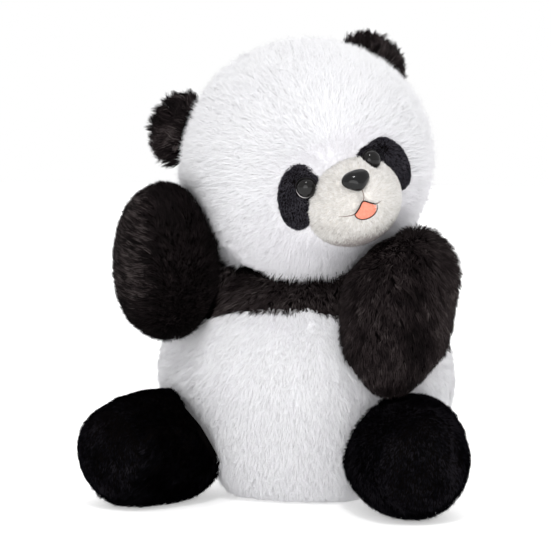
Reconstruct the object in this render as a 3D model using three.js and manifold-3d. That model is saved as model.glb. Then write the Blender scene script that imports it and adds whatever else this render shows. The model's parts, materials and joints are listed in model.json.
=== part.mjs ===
// A sitting plush panda with a disc joint at the neck, at each shoulder and at each hip.
// Units are millimetres and +Z is up. The panda faces -Y, so its left side is +X.
// The origin is the middle of the flat seat that it sits on.

import * as THREE from 'three';
import { mergeVertices } from 'three/addons/utils/BufferGeometryUtils.js';
import Module from 'manifold-3d';

const wasm = await Module();
wasm.setup();

// ---- Driving dimensions ----

const FABRIC = 2; // a cover's cloth with the roots of its pile
const CLEARANCE = 0.4; // between a cover and what fills it
const JOINT_GAP = 0.6; // between the two flat faces of a joint
const SEAM_GAP = 0.3; // between two panels that are sewn edge to edge
const FAR = 400; // longer than the whole toy
const SMALL_SIDES = 12; // facets around a plastic fitting or its hole
const ROUND_SIDES = 22; // facets around the head and the torso

const TORSO = { halfWidth: 87, halfDepth: 69, height: 154 };
const TORSO_OUTLINE = [
  // half width as a share of the widest, and height
  [0.5, 0],
  [0.72, 9],
  [0.88, 30],
  [0.97, 54],
  [1, 78],
  [0.93, 104],
  [0.75, 128],
  [0.48, 145],
  [0.2, 153],
];
const BELLY_ARCH = { top: 118, radius: 160 }; // where the white belly meets the black chest
const PELLET_BAG = { radius: 36, height: 24 };
const PELLET_BAG_OUTLINE = [
  // inwards from the radius, and down from the top
  [3, 21.6],
  [0, 17.6],
  [2, 6],
  [12, 0],
];
const TAIL = { radius: 13, height: 38, reach: 0.93 };

const HEAD = { halfWidth: 75, halfDepth: 70, halfHeight: 71 };
const HEAD_CENTRE = new THREE.Vector3(4.5, -15, 203.5);
const HEAD_TURN = 32; // degrees towards the panda's left
const HEAD_TILT = -18.5; // degrees, its left ear up
const NECK = new THREE.Vector3(2, -7, 142);

const MUZZLE = { x: 28.7, y: 31.5, z: 26, aside: 3.1, forward: 57.5, down: 22.1, roundness: 0.9 };
const NOSE = {
  width: 15.8, height: 11.8, bulge: 5, down: 10, aside: 1, facing: 26, stand: 1.2, shank: 13, washer: 8,
};
const MOUTH = { down: 24.5, halfWidth: 15.5, cusp: 1.5, sag: 1, stand: 1 };
const THREAD = { radius: 0.5, room: 0.8 };
const TONGUE = { halfWidth: 7.2, reach: 20, thick: 1.4, gap: 0.9 };
const EYE = { radius: 5.6, bulge: 4.4, stand: 2.1, shank: 14 };
const EYE_PATCH = { width: 21, height: 38, lean: 22, roll: 6.5, thick: 1.6 };

// Longitude and latitude on the head in degrees: the face sits a little askew, as sewn by hand.
const EYE_PLACES = { right: [-19, -4.2], left: [15, -2] };
const EYE_PATCH_PLACES = { right: [-25.3, -8.4], left: [29, -8] };
const EAR = { halfLength: 20, halfHeight: 17, halfThick: 7, side: 0.82, back: 0.17, up: 0.545, lift: 1 };

const ARM = { length: 97, halfWidth: 30, halfThick: 26, tilt: 15, toShoulder: 30.5, sunk: 3.5 };
const ARM_SHAPE = { nearRound: 0.88, farRound: 0.92, taper: 0.12 };
const SHOULDER = { side: 55.5, front: -33, height: 132, facing: 45, boss: 19, bossRoot: 25 };
const ARM_ROOM = { flat: 24, slope: 20, reach: 95 }; // what an arm sweeps as it turns
const RIGHT_ARM_SWING = 147; // degrees up from hanging straight down
const LEFT_ARM_SWING = 19;

const LEG = { length: 92, halfWidth: 33, halfHeight: 34, splay: 29, dip: 1 };
const LEG_SHAPE = { nearRound: 0.95, farRound: 0.72, taper: 0.05 };
const LEG_CENTRE = { side: 77, front: -61, height: 34.6 };
const HIP = { side: 59.2, front: -31, height: 40, facing: 24, dip: 30 };
const SOLE = { from: 0.74 }; // share of the leg's half length where the sole panel starts

const DISC = { thick: 2.5, stem: 4, stemEnd: 11, endRoom: 1 };
const DISC_RADIUS = { neck: 20, shoulder: 13, hip: 13 };
const WASHER_THICK = 2;
const LOCK_RING = { radius: 9.5, thick: 3.5 };
const STEM_PLAY = 0.5;

// ---- Colours ----

const cloth = (color) => new THREE.MeshStandardMaterial({ color, roughness: 0.95, metalness: 0 });
const plastic = (color, roughness) => new THREE.MeshStandardMaterial({ color, roughness, metalness: 0 });

const WHITE_PLUSH = cloth(0xf2f1f3);
const CREAM_PLUSH = cloth(0xece8e0);
const BLACK_PLUSH = cloth(0x15110f);
const BLACK_VELVET = cloth(0x0b0b0d);
const STUFFING = cloth(0xf7f7f5);
const PELLET_CLOTH = cloth(0xd8d2c4);
const PINK_FELT = cloth(0xf08c78);
const BLACK_THREAD = cloth(0x221c1a);
const EYE_PLASTIC = plastic(0x120c0a, 0.08);
const NOSE_PLASTIC = plastic(0x0c0b0c, 0.3);
const JOINT_PLASTIC = plastic(0xe6e4dc, 0.6);

// ---- Geometry helpers ----

const degrees = THREE.MathUtils.degToRad;
const X_AXIS = new THREE.Vector3(1, 0, 0);
const Y_AXIS = new THREE.Vector3(0, 1, 0);
const Z_AXIS = new THREE.Vector3(0, 0, 1);

/** Turns a closed three.js geometry into a solid that can be cut and joined. */
function solid(geometry) {
  const bare = geometry.clone();
  bare.deleteAttribute('normal');
  bare.deleteAttribute('uv');
  const merged = mergeVertices(bare, 1e-4);
  const corners = merged.index.array;
  const kept = [];
  for (let i = 0; i < corners.length; i += 3) {
    const [a, b, c] = corners.slice(i, i + 3);
    if (a !== b && b !== c && c !== a) kept.push(a, b, c);
  }
  const mesh = new wasm.Mesh({
    numProp: 3,
    vertProperties: new Float32Array(merged.attributes.position.array),
    triVerts: new Uint32Array(kept),
  });
  return new wasm.Manifold(mesh);
}

/** Turns a solid back into a three.js geometry. */
function geometryOf(form) {
  const mesh = form.getMesh();
  const geometry = new THREE.BufferGeometry();
  geometry.setAttribute('position', new THREE.BufferAttribute(mesh.vertProperties, 3));
  geometry.setIndex(new THREE.BufferAttribute(mesh.triVerts, 1));
  geometry.computeVertexNormals();
  return geometry;
}

/** Everything on the side of a plane that its normal points to. */
function halfSpace(point, normal) {
  const box = new THREE.BoxGeometry(2 * FAR, 2 * FAR, FAR);
  box.translate(0, 0, FAR / 2);
  box.applyQuaternion(new THREE.Quaternion().setFromUnitVectors(Z_AXIS, normal));
  box.translate(point.x, point.y, point.z);
  return solid(box);
}

/** A solid turned about +Z from [radius, height] pairs that go up. */
function turned(profile, segments = SMALL_SIDES) {
  const points = profile.map(([radius, height]) => new THREE.Vector2(radius, height));
  const geometry = new THREE.LatheGeometry(points, segments);
  geometry.rotateX(Math.PI / 2);
  return solid(geometry);
}

/** An egg along +Z from -1 to 1, whose ends can be squarer (under 1) and whose far end can be slimmer. */
function egg({ nearRound = 1, farRound = 1, taper = 0, rings = 10, segments = 18 }) {
  const profile = [];
  for (let i = 0; i <= rings; i++) {
    const angle = ((i / rings) * 2 - 1) * (Math.PI / 2);
    const round = angle < 0 ? nearRound : farRound;
    const along = Math.sign(angle) * Math.abs(Math.sin(angle)) ** round;
    const radius = Math.cos(angle) ** round * (1 - taper * along);
    profile.push([i === 0 || i === rings ? 0 : radius, along]);
  }
  return turned(profile, segments);
}

/** The placement of a solid whose +Z is to lie along a direction at a point. */
function alongFrom(point, direction) {
  const turn = new THREE.Quaternion().setFromUnitVectors(Z_AXIS, direction);
  return new THREE.Matrix4().compose(point, turn, new THREE.Vector3(1, 1, 1));
}

/** A solid moved by a matrix. */
function moved(form, matrix) {
  return form.transform(matrix.elements);
}

/** A cylinder from one height to another along an axis through a point. */
function drilled(point, axis, radius, from, to, segments = SMALL_SIDES) {
  return moved(turned([[0, from], [radius, from], [radius, to], [0, to]], segments), alongFrom(point, axis));
}

function addMesh(group, name, form, material) {
  const mesh = new THREE.Mesh(geometryOf(form), material);
  mesh.name = name;
  group.add(mesh);
}

// ---- Joint hardware: a disc on a stem, a washer and a lock ring ----

const WALL = JOINT_GAP / 2 + FABRIC; // from the joint's plane to the inside of a cover
const DISC_SEAT = WALL + CLEARANCE;

/** The disc and stem that sit in a limb; the stem goes through both covers into the torso. */
function discAndStem(radius) {
  return turned([
    [0, -DISC.stemEnd],
    [DISC.stem, -DISC.stemEnd],
    [DISC.stem, DISC_SEAT],
    [radius, DISC_SEAT],
    [radius, DISC_SEAT + DISC.thick],
    [0, DISC_SEAT + DISC.thick],
  ]);
}

/** A flat ring from one height to another. */
function ring(inner, outer, from, to) {
  return turned([[inner, from], [outer, from], [outer, to], [inner, to], [inner, from]]);
}

function washer(radius) {
  return ring(DISC.stem + STEM_PLAY, radius, -DISC_SEAT - WASHER_THICK, -DISC_SEAT);
}

function lockRing() {
  const top = -DISC_SEAT - WASHER_THICK - CLEARANCE;
  return ring(DISC.stem + STEM_PLAY, LOCK_RING.radius, top - LOCK_RING.thick, top);
}

/** The hole that a joint's stem needs in both covers. */
function stemHole(joint) {
  return drilled(joint.point, joint.axis, DISC.stem + 2 * STEM_PLAY, -DISC.stemEnd, DISC.stemEnd);
}

/** The room that a joint's washer and lock ring need in the torso's stuffing. */
function washerPocket(joint) {
  const washerRoom = DISC_SEAT + WASHER_THICK + CLEARANCE;
  const stemRoom = DISC.stemEnd + DISC.endRoom;
  const wide = drilled(joint.point, joint.axis, joint.radius + CLEARANCE, -washerRoom, 0);
  const deep = drilled(joint.point, joint.axis, LOCK_RING.radius + CLEARANCE, -stemRoom, 0);
  return wide.add(deep);
}

/** The room that a joint's disc needs in its limb's stuffing. */
function discPocket(joint) {
  return drilled(joint.point, joint.axis, joint.radius + CLEARANCE, 0, DISC_SEAT + DISC.thick + CLEARANCE);
}

// ---- Joints in the toy's own frame ----

function shoulderJoint(side) {
  const facing = degrees(SHOULDER.facing);
  return {
    point: new THREE.Vector3(side * SHOULDER.side, SHOULDER.front, SHOULDER.height),
    axis: new THREE.Vector3(side * Math.cos(facing), -Math.sin(facing), 0),
    radius: DISC_RADIUS.shoulder,
  };
}

function hipJoint(side) {
  const facing = degrees(HIP.facing);
  const dip = degrees(HIP.dip);
  return {
    point: new THREE.Vector3(side * HIP.side, HIP.front, HIP.height),
    axis: new THREE.Vector3(
      side * Math.cos(facing) * Math.cos(dip),
      -Math.sin(facing) * Math.cos(dip),
      -Math.sin(dip),
    ),
    radius: DISC_RADIUS.hip,
  };
}

const neck = {
  point: NECK,
  axis: HEAD_CENTRE.clone().sub(NECK).normalize(),
  radius: DISC_RADIUS.neck,
};
const shoulders = { right: shoulderJoint(-1), left: shoulderJoint(1) };
const hips = { right: hipJoint(-1), left: hipJoint(1) };
const torsoJoints = [neck, shoulders.right, shoulders.left, hips.right, hips.left];

/** The point at a height above a joint's plane, on its axis. */
function above(joint, height) {
  return joint.point.clone().addScaledVector(joint.axis, height);
}

// ---- Torso ----

/** The torso's outer form, or the form a given depth under its surface. */
function torsoForm(inset) {
  const points = TORSO_OUTLINE.map(([share, height]) => new THREE.Vector2(share, height));
  const outline = new THREE.SplineCurve(points).getPoints(11);
  const profile = outline.map((point) => [point.x, point.y]);
  const middle = TORSO.height / 2;
  const squeeze = new THREE.Matrix4().makeScale(
    TORSO.halfWidth - inset,
    TORSO.halfDepth - inset,
    (middle - inset) / middle,
  );
  const body = turned([[0, 0], ...profile, [0, profile.at(-1)[1]]], ROUND_SIDES);
  let form = moved(body, squeeze.setPosition(0, 0, inset));
  for (const joint of [shoulders.right, shoulders.left]) {
    form = form.add(drilled(joint.point, joint.axis, SHOULDER.boss - inset, -SHOULDER.bossRoot, JOINT_GAP));
    form = form.subtract(armRoom(joint, inset));
  }
  for (const joint of [hips.right, hips.left]) {
    form = form.subtract(halfSpace(above(joint, -JOINT_GAP / 2 - inset), joint.axis));
  }
  return form.subtract(headRoom(inset));
}

/** The room that the head sweeps as it turns on its neck: a ball with a flat face. */
function headRoom(inset) {
  const reach = HEAD.halfWidth + inset;
  const ball = moved(
    egg({ rings: 12, segments: ROUND_SIDES }),
    new THREE.Matrix4().makeScale(reach, reach, reach).setPosition(HEAD_CENTRE),
  );
  return ball.intersect(halfSpace(above(neck, -JOINT_GAP / 2 - inset), neck.axis));
}

/** The room that an arm sweeps as it turns on its shoulder: a flat round face and a cone around it. */
function armRoom(joint, inset) {
  const face = -JOINT_GAP / 2 - inset;
  const rise = (ARM_ROOM.reach - ARM_ROOM.flat) * Math.tan(degrees(ARM_ROOM.slope));
  const room = turned([
    [0, face],
    [ARM_ROOM.flat, face],
    [ARM_ROOM.reach, face + rise],
    [ARM_ROOM.reach, ARM_ROOM.reach],
    [0, ARM_ROOM.reach],
  ]);
  return moved(room, alongFrom(joint.point, joint.axis));
}

/** A long round form across the toy whose top is the arch between belly and chest. */
function bellyArch(radius) {
  const roller = new THREE.CylinderGeometry(radius, radius, FAR, 96);
  roller.translate(0, 0, BELLY_ARCH.top - BELLY_ARCH.radius);
  return solid(roller);
}

function addTorso(group) {
  let cover = torsoForm(0).subtract(torsoForm(FABRIC));
  let stuffing = torsoForm(FABRIC + CLEARANCE);
  for (const joint of torsoJoints) {
    cover = cover.subtract(stemHole(joint));
    stuffing = stuffing.subtract(washerPocket(joint));
  }
  const chest = cover.subtract(bellyArch(BELLY_ARCH.radius));
  const belly = cover.intersect(bellyArch(BELLY_ARCH.radius - SEAM_GAP));
  const bagOutline = PELLET_BAG_OUTLINE.map(([inwards, down]) => [
    PELLET_BAG.radius - inwards,
    PELLET_BAG.height - down,
  ]);
  const bag = turned([[0, bagOutline[0][1]], ...bagOutline, [0, PELLET_BAG.height]]);
  const bagRoom = drilled(
    new THREE.Vector3(),
    Z_AXIS,
    PELLET_BAG.radius + CLEARANCE,
    0,
    PELLET_BAG.height + CLEARANCE,
  );
  addMesh(group, 'chest_cover', chest, BLACK_PLUSH);
  addMesh(group, 'belly_cover', belly, WHITE_PLUSH);
  addMesh(group, 'torso_stuffing', stuffing.subtract(bagRoom), STUFFING);
  addMesh(group, 'pellet_bag', bag, PELLET_CLOTH);

  const tailPlace = new THREE.Vector3(0, TORSO.halfDepth * TAIL.reach, TAIL.height);
  const ball = moved(
    egg({ rings: 7, segments: 12 }),
    new THREE.Matrix4().makeScale(TAIL.radius, TAIL.radius, TAIL.radius).setPosition(tailPlace),
  );
  addMesh(group, 'tail', ball.subtract(torsoForm(-SEAM_GAP)), WHITE_PLUSH);
}

/** A washer and lock ring in the torso for one joint. */
function addTorsoHardware(group, name, joint) {
  const seat = new THREE.Group();
  seat.position.copy(joint.point);
  seat.quaternion.setFromUnitVectors(Z_AXIS, joint.axis);
  group.add(seat);
  addMesh(seat, `${name}_washer`, washer(joint.radius), JOINT_PLASTIC);
  addMesh(seat, `${name}_lock_ring`, lockRing(), JOINT_PLASTIC);
}

// ---- Head, built about its own centre and facing -Y ----

const headTurn = new THREE.Quaternion()
  .setFromAxisAngle(Z_AXIS, degrees(HEAD_TURN))
  .multiply(new THREE.Quaternion().setFromAxisAngle(Y_AXIS, degrees(HEAD_TILT)));
const neckAxisInHead = neck.axis.clone().applyQuaternion(headTurn.clone().invert());
const neckInHead = {
  point: neckAxisInHead.clone().multiplyScalar(-HEAD_CENTRE.distanceTo(NECK)),
  axis: neckAxisInHead,
  radius: DISC_RADIUS.neck,
};

/** The whole ball of the head at a given depth under its surface, before the neck's face is cut. */
function headBall(inset) {
  const size = new THREE.Matrix4().makeScale(
    HEAD.halfWidth - inset,
    HEAD.halfDepth - inset,
    HEAD.halfHeight - inset,
  );
  return moved(egg({ rings: 12, segments: ROUND_SIDES }), size);
}

function headForm(inset) {
  const face = above(neckInHead, JOINT_GAP / 2 + inset);
  return headBall(inset).intersect(halfSpace(face, neckInHead.axis));
}

/** The direction from the head's centre at a longitude (towards its left) and a latitude. */
function faceDirection(longitude, latitude) {
  const side = degrees(longitude);
  const rise = degrees(latitude);
  return new THREE.Vector3(
    Math.sin(side) * Math.cos(rise),
    -Math.cos(side) * Math.cos(rise),
    Math.sin(rise),
  );
}

/** The point of the head's surface in a direction, a given height above it. */
function onHead(direction, height = 0) {
  const reach = 1 / Math.hypot(
    direction.x / (HEAD.halfWidth + height),
    direction.y / (HEAD.halfDepth + height),
    direction.z / (HEAD.halfHeight + height),
  );
  return direction.clone().multiplyScalar(reach);
}

/** The way out of the head's surface in a direction. */
function headNormal(direction) {
  return new THREE.Vector3(
    direction.x / HEAD.halfWidth ** 2,
    direction.y / HEAD.halfDepth ** 2,
    direction.z / HEAD.halfHeight ** 2,
  ).normalize();
}

function muzzleForm(inset) {
  const size = new THREE.Matrix4().makeScale(MUZZLE.x - inset, MUZZLE.y - inset, MUZZLE.z - inset);
  const ball = moved(egg({ nearRound: MUZZLE.roundness, farRound: MUZZLE.roundness, segments: 16 }), size);
  return ball.translate([MUZZLE.aside, -MUZZLE.forward, -MUZZLE.down]);
}

const POST_RADIUS = 2.2;
const POST_ROOM = POST_RADIUS + STEM_PLAY;
const POST_END_ROOM = 4;
const LOCK_WASHER = { inner: POST_RADIUS + 0.3, outer: 6.5, thick: 1.8 };

/** A plastic button on a post: an oval dome with a low rim, whose back is at height 0. */
function domeOnPost(halfWidth, halfHeight, bulge, postLength) {
  const rim = 0.15; // share of the bulge
  const back = 0.94; // share of the widest
  const profile = [[0, 0], [back, 0], [1, rim]];
  const steps = 5;
  for (let i = 1; i <= steps; i++) {
    const angle = (i / steps) * (Math.PI / 2);
    profile.push([i === steps ? 0 : Math.cos(angle), rim + (1 - rim) * Math.sin(angle)]);
  }
  const dome = moved(turned(profile, 16), new THREE.Matrix4().makeScale(halfWidth, halfHeight, bulge));
  return dome.add(drilled(new THREE.Vector3(), Z_AXIS, POST_RADIUS, -postLength, bulge / 2));
}

/** Where an eye or the nose sits: its place, its way out, and how far its post goes in. */
function eyeSeat(name) {
  const direction = faceDirection(...EYE_PLACES[name]);
  const axis = headNormal(direction);
  const point = onHead(direction).addScaledVector(axis, EYE.stand);
  return { point, axis };
}

function earPlacement(side) {
  const out = new THREE.Vector3(side * EAR.side, EAR.back, EAR.up).normalize();
  const normal = headNormal(out);
  const along = new THREE.Vector3().crossVectors(normal, Y_AXIS).normalize();
  const through = new THREE.Vector3().crossVectors(along, normal).normalize();
  return new THREE.Matrix4().makeBasis(along, through, normal).setPosition(onHead(out, EAR.lift));
}

/** One ear as a flat rounded form that stands out of the head, split into its front and back cloth. */
function addEar(group, name, side) {
  const placement = earPlacement(side);
  const size = new THREE.Matrix4().makeScale(EAR.halfLength, EAR.halfThick, EAR.halfHeight);
  const ear = moved(egg({ farRound: 0.9, nearRound: 0.9, segments: 14 }), size);
  const through = new THREE.Vector3().setFromMatrixColumn(placement, 1);
  const middle = new THREE.Vector3().setFromMatrixPosition(placement);
  const outside = moved(ear, placement).subtract(headBall(-SEAM_GAP));
  const back = halfSpace(middle.clone().addScaledVector(through, SEAM_GAP / 2), through);
  const front = halfSpace(middle.clone().addScaledVector(through, -SEAM_GAP / 2), through.clone().negate());
  addMesh(group, `${name}_front`, outside.intersect(front), BLACK_PLUSH);
  addMesh(group, `${name}_back`, outside.intersect(back), BLACK_PLUSH);
}

/** A black patch of short pile that lies on the head around an eye. */
function eyePatch(name, side) {
  const direction = faceDirection(...EYE_PATCH_PLACES[name]);
  const axis = headNormal(direction);
  const outline = new THREE.Shape().absellipse(
    0, 0, EYE_PATCH.width / 2, EYE_PATCH.height / 2, 0, 2 * Math.PI, false, 0,
  );
  const depth = EYE_PATCH.height;
  const prism = new THREE.ExtrudeGeometry(outline, { depth, bevelEnabled: false, curveSegments: 18 });
  prism.translate(0, 0, -depth / 2);
  prism.rotateZ(degrees(side * EYE_PATCH.lean + EYE_PATCH.roll));
  const across = new THREE.Vector3().crossVectors(Z_AXIS, axis).normalize();
  const up = new THREE.Vector3().crossVectors(axis, across);
  prism.applyMatrix4(new THREE.Matrix4().makeBasis(across, up, axis).setPosition(onHead(direction)));
  return solid(prism).intersect(headBall(-EYE_PATCH.thick)).subtract(headBall(-SEAM_GAP));
}

/** A closed round cord along a curve. */
function cord(curve, radius) {
  const section = new THREE.Shape().absarc(0, 0, radius, 0, 2 * Math.PI, false);
  const options = { steps: 14, extrudePath: curve, curveSegments: 6, bevelEnabled: false };
  return solid(new THREE.ExtrudeGeometry(section, options));
}

/** The muzzle's surface at a sideways place and a height, in front. */
function onMuzzle(x, z, height) {
  const across = (x - MUZZLE.aside) / (MUZZLE.x + height);
  const rise = (z + MUZZLE.down) / (MUZZLE.z + height);
  const forward = Math.sqrt(Math.max(0, 1 - across ** 2 - rise ** 2));
  return new THREE.Vector3(x, -MUZZLE.forward - (MUZZLE.y + height) * forward, z);
}

function addHead(group) {
  const eyes = { right: eyeSeat('right'), left: eyeSeat('left') };
  let cover = headForm(0).subtract(headForm(FABRIC)).subtract(stemHole(neckInHead));
  let stuffing = headForm(FABRIC + CLEARANCE).subtract(discPocket(neckInHead));
  let muzzleFilling = muzzleForm(FABRIC + CLEARANCE).subtract(headBall(-SEAM_GAP));
  let muzzleCover = muzzleForm(0).subtract(muzzleForm(FABRIC)).subtract(headBall(-SEAM_GAP));

  for (const [name, seat] of Object.entries(eyes)) {
    const side = name === 'right' ? -1 : 1;
    const hole = drilled(seat.point, seat.axis, POST_ROOM, -EYE.shank - POST_END_ROOM, EYE.bulge);
    const washerFrom = -EYE.stand - FABRIC - 4 * CLEARANCE - LOCK_WASHER.thick;
    const washerRoom = drilled(
      seat.point, seat.axis, LOCK_WASHER.outer + CLEARANCE, washerFrom - CLEARANCE, 0,
    );
    const eyeRoom = drilled(seat.point, seat.axis, EYE.radius + CLEARANCE, -EYE.stand - FABRIC, EYE.shank);
    cover = cover.subtract(hole);
    muzzleCover = muzzleCover.subtract(eyeRoom);
    muzzleFilling = muzzleFilling.subtract(eyeRoom);
    stuffing = stuffing.subtract(hole).subtract(washerRoom);
    const patch = eyePatch(name, side).subtract(hole).subtract(muzzleForm(-SEAM_GAP));
    addMesh(group, `eye_patch_${name}`, patch, BLACK_VELVET);

    const socket = new THREE.Group();
    socket.position.copy(seat.point);
    socket.quaternion.setFromUnitVectors(Z_AXIS, seat.axis);
    group.add(socket);
    const eye = domeOnPost(EYE.radius, EYE.radius, EYE.bulge, EYE.shank);
    addMesh(socket, `eye_${name}`, eye, EYE_PLASTIC);
    const locked = ring(LOCK_WASHER.inner, LOCK_WASHER.outer, washerFrom, washerFrom + LOCK_WASHER.thick);
    addMesh(socket, `eye_washer_${name}`, locked, JOINT_PLASTIC);
  }

  addMesh(group, 'head_cover', cover, WHITE_PLUSH);
  addMesh(group, 'head_stuffing', stuffing, STUFFING);
  addNoseAndMouth(group, muzzleCover, muzzleFilling);
  addEar(group, 'ear_right', -1);
  addEar(group, 'ear_left', 1);

  const seat = new THREE.Group();
  seat.position.copy(neckInHead.point);
  seat.quaternion.setFromUnitVectors(Z_AXIS, neckInHead.axis);
  group.add(seat);
  addMesh(seat, 'neck_disc', discAndStem(DISC_RADIUS.neck), JOINT_PLASTIC);
}

function addNoseAndMouth(group, muzzleCover, muzzleFilling) {
  const place = onMuzzle(NOSE.aside, -NOSE.down, 0);
  const out = faceDirection(0, NOSE.facing);
  const seat = new THREE.Group();
  seat.position.copy(place).addScaledVector(out, NOSE.stand);
  seat.quaternion.setFromRotationMatrix(
    new THREE.Matrix4().makeBasis(X_AXIS, new THREE.Vector3().crossVectors(out, X_AXIS), out),
  );
  const hole = drilled(seat.position, out, POST_ROOM, -NOSE.shank - POST_END_ROOM, NOSE.bulge);
  const washerRoom = drilled(seat.position, out, LOCK_WASHER.outer + CLEARANCE, -NOSE.washer - CLEARANCE, 0);
  const locked = ring(
    LOCK_WASHER.inner, LOCK_WASHER.outer, -NOSE.washer, -NOSE.washer + LOCK_WASHER.thick,
  );

  const steps = [-2, -1, 0, 1, 2];
  const lips = new THREE.CatmullRomCurve3(steps.map((step) => {
    const lift = step % 2 === 0 ? MOUTH.cusp : -MOUTH.sag;
    return onMuzzle((step / 2) * MOUTH.halfWidth, -MOUTH.down + lift, MOUTH.stand);
  }));
  const tongueTop = -MOUTH.down - TONGUE.gap;
  const tongueOutline = new THREE.Shape();
  tongueOutline.moveTo(-TONGUE.halfWidth, tongueTop);
  tongueOutline.quadraticCurveTo(0, tongueTop - TONGUE.reach, TONGUE.halfWidth, tongueTop);
  tongueOutline.quadraticCurveTo(0, tongueTop + MOUTH.cusp, -TONGUE.halfWidth, tongueTop);
  const depth = 2 * MUZZLE.y;
  const slab = new THREE.ExtrudeGeometry(tongueOutline, { depth, bevelEnabled: false, curveSegments: 6 });
  slab.rotateX(Math.PI / 2);
  slab.translate(0, -MUZZLE.forward, 0);
  const tongue = solid(slab)
    .intersect(muzzleForm(-TONGUE.thick))
    .subtract(muzzleForm(-SEAM_GAP))
    .subtract(cord(lips, THREAD.room));

  addMesh(group, 'muzzle_cover', muzzleCover.subtract(hole), CREAM_PLUSH);
  addMesh(group, 'muzzle_stuffing', muzzleFilling.subtract(hole).subtract(washerRoom), STUFFING);
  addMesh(group, 'mouth_stitching', cord(lips, THREAD.radius), BLACK_THREAD);
  addMesh(group, 'tongue', tongue, PINK_FELT);
  group.add(seat);
  const nose = domeOnPost(NOSE.width / 2, NOSE.height / 2, NOSE.bulge, NOSE.shank);
  addMesh(seat, 'nose', nose, NOSE_PLASTIC);
  addMesh(seat, 'nose_washer', locked, JOINT_PLASTIC);
}

// ---- Arms, built with the shoulder's axis along +Z and the paw towards -Y ----

const shoulderAtOrigin = { point: new THREE.Vector3(), axis: Z_AXIS, radius: DISC_RADIUS.shoulder };

function armForm(inset) {
  const tilt = degrees(ARM.tilt);
  const along = new THREE.Vector3(0, -Math.cos(tilt), Math.sin(tilt));
  const through = new THREE.Vector3().crossVectors(along, X_AXIS);
  const halfLength = ARM.length / 2;
  const centre = along.clone().multiplyScalar(halfLength - ARM.toShoulder);
  centre.z += ARM.halfThick - ARM.sunk;
  const size = new THREE.Matrix4().makeScale(
    ARM.halfWidth - inset,
    ARM.halfThick - inset,
    halfLength - inset,
  );
  const placed = new THREE.Matrix4().makeBasis(X_AXIS, through, along).setPosition(centre).multiply(size);
  const face = new THREE.Vector3(0, 0, JOINT_GAP / 2 + inset);
  return moved(egg(ARM_SHAPE), placed).intersect(halfSpace(face, Z_AXIS));
}

function addArm(group, name, side, joint, swing) {
  const angle = degrees(swing);
  const inward = new THREE.Vector3(-side * Math.abs(joint.axis.y), -Math.abs(joint.axis.x), 0).normalize();
  const paw = new THREE.Vector3(0, 0, -Math.cos(angle)).addScaledVector(inward, Math.sin(angle));
  const up = paw.clone().negate();
  const across = new THREE.Vector3().crossVectors(up, joint.axis);
  const arm = new THREE.Group();
  arm.quaternion.setFromRotationMatrix(new THREE.Matrix4().makeBasis(across, up, joint.axis));
  arm.position.copy(joint.point);
  group.add(arm);
  const hole = stemHole(shoulderAtOrigin);
  const cover = armForm(0).subtract(armForm(FABRIC)).subtract(hole);
  const stuffing = armForm(FABRIC + CLEARANCE).subtract(discPocket(shoulderAtOrigin));
  addMesh(arm, `arm_${name}_cover`, cover, BLACK_PLUSH);
  addMesh(arm, `arm_${name}_stuffing`, stuffing, STUFFING);
  addMesh(arm, `shoulder_${name}_disc`, discAndStem(joint.radius), JOINT_PLASTIC);
}

// ---- Legs, built in the toy's own frame about each hip ----

/** The way from a leg's hip end to its sole. */
function legDirection(side) {
  const splay = degrees(LEG.splay);
  const dip = degrees(LEG.dip);
  return new THREE.Vector3(
    side * Math.sin(splay) * Math.cos(dip),
    -Math.cos(splay) * Math.cos(dip),
    -Math.sin(dip),
  );
}

/** A leg's form in a frame at the hip point that is parallel to the toy's. */
function legForm(side, joint, inset) {
  const along = legDirection(side);
  const across = new THREE.Vector3().crossVectors(along, Z_AXIS).normalize();
  const through = new THREE.Vector3().crossVectors(along, across);
  const size = new THREE.Matrix4().makeScale(
    LEG.halfWidth - inset,
    LEG.halfHeight - inset,
    LEG.length / 2 - inset,
  );
  const centre = new THREE.Vector3(side * LEG_CENTRE.side, LEG_CENTRE.front, LEG_CENTRE.height);
  centre.sub(joint.point);
  const placed = new THREE.Matrix4().makeBasis(across, through, along).setPosition(centre).multiply(size);
  const face = joint.axis.clone().multiplyScalar(JOINT_GAP / 2 + inset);
  return moved(egg(LEG_SHAPE), placed).intersect(halfSpace(face, joint.axis));
}

/** Everything beyond the seam of a leg's sole panel. */
function beyondSole(side, joint, shift) {
  const along = legDirection(side);
  const seam = new THREE.Vector3(side * LEG_CENTRE.side, LEG_CENTRE.front, LEG_CENTRE.height)
    .sub(joint.point)
    .addScaledVector(along, (LEG.length / 2) * SOLE.from + shift);
  return halfSpace(seam, along);
}

function addLeg(group, name, side, joint) {
  const leg = new THREE.Group();
  leg.position.copy(joint.point);
  group.add(leg);
  const here = { ...joint, point: new THREE.Vector3() };
  const skin = legForm(side, joint, 0).subtract(legForm(side, joint, FABRIC)).subtract(stemHole(here));
  const stuffing = legForm(side, joint, FABRIC + CLEARANCE).subtract(discPocket(here));
  addMesh(leg, `leg_${name}_cover`, skin.subtract(beyondSole(side, joint, 0)), BLACK_PLUSH);
  addMesh(leg, `foot_${name}_sole`, skin.intersect(beyondSole(side, joint, SEAM_GAP)), BLACK_VELVET);
  addMesh(leg, `leg_${name}_stuffing`, stuffing, STUFFING);
  const seat = new THREE.Group();
  seat.quaternion.setFromUnitVectors(Z_AXIS, joint.axis);
  leg.add(seat);
  addMesh(seat, `hip_${name}_disc`, discAndStem(joint.radius), JOINT_PLASTIC);
}

// ---- Assembly ----

const panda = new THREE.Group();

addTorso(panda);
addTorsoHardware(panda, 'neck', neck);
for (const name of ['right', 'left']) {
  addTorsoHardware(panda, `shoulder_${name}`, shoulders[name]);
  addTorsoHardware(panda, `hip_${name}`, hips[name]);
}

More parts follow.
